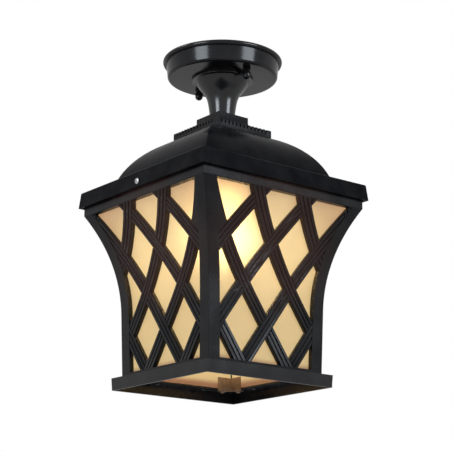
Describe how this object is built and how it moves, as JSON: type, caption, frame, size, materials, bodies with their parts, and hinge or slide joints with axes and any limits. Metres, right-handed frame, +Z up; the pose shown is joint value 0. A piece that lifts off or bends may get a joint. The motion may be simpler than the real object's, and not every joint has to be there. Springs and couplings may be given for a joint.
{
  "type": "porch ceiling lantern",
  "caption": "Square flared ceiling lantern: woven lattice sides over frosted glass, domed hip roof, trumpet neck and round canopy, with an opal bulb inside.",
  "frame": {"origin": "centre of the ceiling strap's slots, on the ceiling plane", "axes": "+Z up into the ceiling, -Y towards the front side with a fascia screw, +X towards the right-hand cap nut"},
  "size_m": [0.22, 0.2238, 0.3604],
  "materials": {
    "black_casting": "satin black powder coat on cast aluminium",
    "black_steel": "satin black paint on pressed steel",
    "zinc_steel": "bright zinc plate",
    "green_screw": "green passivated steel",
    "holder_shell": "dark paint on pressed steel",
    "porcelain": "white glaze",
    "brass": "plain pressed brass",
    "dark_insulator": "dark vitrite",
    "bulb_metal": "bright rolled aluminium",
    "bulb_glass": "opal white, lit",
    "amber_glass": "acid-frosted amber"
  },
  "bodies": {
    "housing": {"mounting_strap": "zinc_steel", "strap_studs": "zinc_steel", "ground_screw": "green_screw", "canopy": "black_steel", "neck": "black_casting", "pedestal": "black_casting", "threaded_nipple": "zinc_steel", "top_washer": "zinc_steel", "top_locknut": "zinc_steel", "roof": "black_casting", "bottom_washer": "zinc_steel", "bottom_locknut": "zinc_steel", "lampholder_cap": "holder_shell", "lampholder_body": "porcelain", "lampholder_shell": "brass", "lampholder_contact": "brass", "base_rim": "black_steel", "rim_screws": "zinc_steel", "lower_brackets": "zinc_steel", "lower_bracket_screws": "zinc_steel", "upper_brackets": "zinc_steel", "upper_bracket_screws": "zinc_steel", "fascia_screws": "zinc_steel", "lattice_panel_right": "black_casting", "glass_pane_right": "amber_glass", "lattice_panel_back": "black_casting", "glass_pane_back": "amber_glass", "lattice_panel_left": "black_casting", "glass_pane_left": "amber_glass", "lattice_panel_front": "black_casting", "glass_pane_front": "amber_glass"},
    "left_cap_nut": {"cap_nut_left": "black_steel"},
    "right_cap_nut": {"cap_nut_right": "black_steel"},
    "bulb": {"bulb_tip": "dark_insulator", "bulb_cap": "bulb_metal", "bulb_globe": "bulb_glass"}
  },
  "joints": [
    {"name": "left_cap_nut_spin", "type": "hinge", "parent": "housing", "child": "left_cap_nut", "pos_m": [-0.042, 0, -0.0217], "axis": [0, 0, -1], "continuous": true},
    {"name": "right_cap_nut_spin", "type": "hinge", "parent": "housing", "child": "right_cap_nut", "pos_m": [0.042, 0, -0.0217], "axis": [0, 0, -1], "continuous": true},
    {"name": "bulb_spin", "type": "hinge", "parent": "housing", "child": "bulb", "pos_m": [0, 0, -0.142], "axis": [0, 0, -1], "continuous": true}
  ]
}
